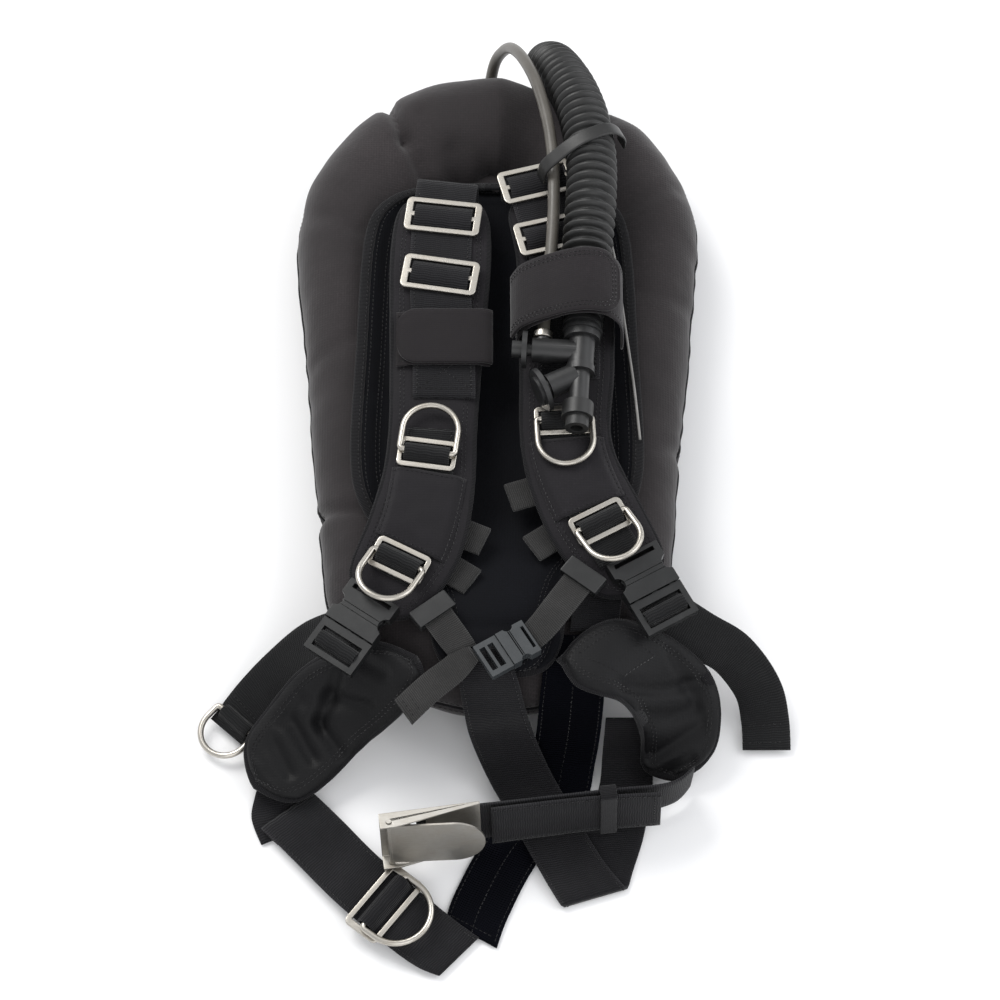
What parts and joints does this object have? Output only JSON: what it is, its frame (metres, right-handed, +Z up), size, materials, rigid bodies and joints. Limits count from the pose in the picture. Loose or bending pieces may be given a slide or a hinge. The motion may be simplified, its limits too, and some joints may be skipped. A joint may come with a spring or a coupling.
{
  "type": "buoyancy compensator vest",
  "caption": "Diving buoyancy vest: inflatable ring-shaped wing, rigid plate, padded harness with buckles, rings and waist belt, and a corrugated inflator hose.",
  "frame": {"origin": "on the floor, under the middle of the whole outline, with the vest lying on its back", "axes": "+Z up, out of the diver's chest side; +Y towards the head end; +X towards the wearer's left"},
  "size_m": [0.4689, 0.8289, 0.174],
  "materials": {
    "wing_fabric": "heavy woven nylon, charcoal",
    "bladder_film": "smooth coated film",
    "plate_steel": "brushed",
    "pad_fabric": "woven nylon over foam",
    "webbing": "ribbed webbing",
    "grey_webbing": "fine ribbed webbing",
    "navy_webbing": "ribbed webbing, dark navy",
    "hook_fabric": "hook-and-loop backed nylon",
    "hardware_steel": "polished stainless",
    "black_plastic": "moulded acetal",
    "inflator_plastic": "satin moulded",
    "hose_rubber": "matte rubber",
    "hose_cover": "braided olive-grey cover"
  },
  "bodies": {
    "vest": {"wing_shell": "wing_fabric", "air_bladder": "bladder_film", "backplate": "plate_steel", "wing_screws": "plate_steel", "back_pad": "pad_fabric", "cam_bands": "webbing", "cam_buckles": "black_plastic", "right_shoulder_pad": "pad_fabric", "left_shoulder_pad": "pad_fabric", "right_shoulder_webbing": "webbing", "left_shoulder_webbing": "webbing", "wide_slides": "hardware_steel", "narrow_slides": "hardware_steel", "right_chest_webbing": "webbing", "left_chest_webbing": "webbing", "right_keeper": "hook_fabric", "hose_keeper": "hook_fabric", "right_buckle_socket": "black_plastic", "left_buckle_socket": "black_plastic", "right_strap_tail": "webbing", "left_strap_tail": "webbing", "strap_tabs": "grey_webbing", "sternum_keepers": "black_plastic", "right_sternum_strap": "grey_webbing", "left_sternum_strap": "grey_webbing", "sternum_socket": "black_plastic", "right_hip_pad": "pad_fabric", "left_hip_pad": "pad_fabric", "right_waist_webbing": "webbing", "left_waist_webbing": "webbing", "crotch_strap": "navy_webbing", "lower_loop_strap": "webbing", "waist_buckle_frame": "hardware_steel", "belt_keeper": "black_plastic", "corrugated_hose": "hose_rubber", "wing_elbow": "inflator_plastic", "hose_band": "hose_rubber", "inflator_body": "inflator_plastic", "mouthpiece": "hose_rubber", "lp_hose": "hose_cover", "hose_end_fitting": "hardware_steel", "dump_valve": "black_plastic"},
    "right_upper_d_ring": {"right_upper_d_ring": "hardware_steel"},
    "right_lower_d_ring": {"right_lower_d_ring": "hardware_steel"},
    "left_upper_d_ring": {"left_upper_d_ring": "hardware_steel"},
    "left_lower_d_ring": {"left_lower_d_ring": "hardware_steel"},
    "tail_d_ring": {"tail_d_ring": "hardware_steel"},
    "waist_d_ring": {"waist_d_ring": "hardware_steel"},
    "right_keeper_flap": {"right_keeper_flap": "hook_fabric"},
    "hose_keeper_flap": {"hose_keeper_flap": "hook_fabric"},
    "right_buckle_plug": {"right_buckle_plug": "black_plastic"},
    "left_buckle_plug": {"left_buckle_plug": "black_plastic"},
    "sternum_plug": {"sternum_plug": "black_plastic"},
    "waist_buckle_lever": {"waist_buckle_lever": "hardware_steel"},
    "upper_cam_lever": {"upper_cam_lever": "black_plastic"},
    "lower_cam_lever": {"lower_cam_lever": "black_plastic"},
    "inflate_button": {"inflate_button": "inflator_plastic"},
    "deflate_button": {"deflate_button": "inflator_plastic"},
    "quick_connect_sleeve": {"quick_connect_sleeve": "hardware_steel"},
    "dump_valve_knob": {"dump_valve_knob": "black_plastic"}
  },
  "joints": [
    {"name": "right_upper_ring_pivot", "type": "hinge", "parent": "vest", "child": "right_upper_d_ring", "pos_m": [-0.05503, -0.01821, 0.1242], "axis": [0.9903, -0.1392, 0], "range_deg": [0, 160]},
    {"name": "right_lower_ring_pivot", "type": "hinge", "parent": "vest", "child": "right_lower_d_ring", "pos_m": [-0.07651, -0.10897, 0.1153], "axis": [-0.8829, 0.4695, 0], "range_deg": [0, 125]},
    {"name": "left_upper_ring_pivot", "type": "hinge", "parent": "vest", "child": "left_upper_d_ring", "pos_m": [0.053, 0.012, 0.1244], "axis": [-0.9986, -0.0523, 0], "range_deg": [0, 30]},
    {"name": "left_lower_ring_pivot", "type": "hinge", "parent": "vest", "child": "left_lower_d_ring", "pos_m": [0.08093, -0.07678, 0.11933], "axis": [-0.8746, -0.4848, 0], "range_deg": [0, 95]},
    {"name": "tail_ring_pivot", "type": "hinge", "parent": "vest", "child": "tail_d_ring", "pos_m": [-0.20628, -0.19979, 0.01217], "axis": [-0.7193, 0.6947, 0], "range_deg": [0, 50]},
    {"name": "waist_ring_pivot", "type": "hinge", "parent": "vest", "child": "waist_d_ring", "pos_m": [-0.087, -0.355, 0.0176], "axis": [-0.6157, -0.788, 0], "range_deg": [0, 18]},
    {"name": "right_keeper_flap_fold", "type": "hinge", "parent": "vest", "child": "right_keeper_flap", "pos_m": [-0.004, 0.088, 0.1206], "axis": [0, 1, 0], "range_deg": [0, 80]},
    {"name": "hose_keeper_flap_fold", "type": "hinge", "parent": "vest", "child": "hose_keeper_flap", "pos_m": [0.012, 0.112, 0.128], "axis": [0, -1, 0], "range_deg": [0, 60]},
    {"name": "right_buckle_plug_slide", "type": "slide", "parent": "vest", "child": "right_buckle_plug", "axis": [-0.5665, -0.8091, -0.1564], "range_m": [0, 0.026]},
    {"name": "left_buckle_plug_slide", "type": "slide", "parent": "vest", "child": "left_buckle_plug", "axis": [0.4963, -0.8596, -0.1219], "range_m": [0, 0.026]},
    {"name": "sternum_plug_slide", "type": "slide", "parent": "vest", "child": "sternum_plug", "axis": [-0.8572, -0.515, 0], "range_m": [0, 0.015]},
    {"name": "waist_buckle_lever_pivot", "type": "hinge", "parent": "vest", "child": "waist_buckle_lever", "pos_m": [-0.0818, -0.318, 0.04487], "axis": [0.0289, -0.2059, -0.9781], "range_deg": [-3, 95]},
    {"name": "upper_cam_lever_pivot", "type": "hinge", "parent": "vest", "child": "upper_cam_lever", "pos_m": [-0.015, 0.17, 0.028], "axis": [0, 1, 0], "range_deg": [0, 42]},
    {"name": "lower_cam_lever_pivot", "type": "hinge", "parent": "vest", "child": "lower_cam_lever", "pos_m": [-0.015, 0.02, 0.028], "axis": [0, 1, 0], "range_deg": [0, 42]},
    {"name": "inflate_button_press", "type": "slide", "parent": "vest", "child": "inflate_button", "axis": [0.998, -0.0628, 0], "range_m": [0, 0.003], "stiffness_N_per_m": 600, "springref_m": -0.002},
    {"name": "deflate_button_press", "type": "slide", "parent": "vest", "child": "deflate_button", "axis": [0.8957, 0.4446, 0], "range_m": [0, 0.003], "stiffness_N_per_m": 600, "springref_m": -0.002},
    {"name": "quick_connect_slide", "type": "slide", "parent": "vest", "child": "quick_connect_sleeve", "axis": [0.0628, 0.998, 0], "range_m": [0, 0.0032], "stiffness_N_per_m": 400, "springref_m": -0.002},
    {"name": "dump_valve_pull", "type": "slide", "parent": "vest", "child": "dump_valve_knob", "axis": [0, 0, -1], "range_m": [0, 0.004], "stiffness_N_per_m": 300, "springref_m": -0.001}
  ]
}
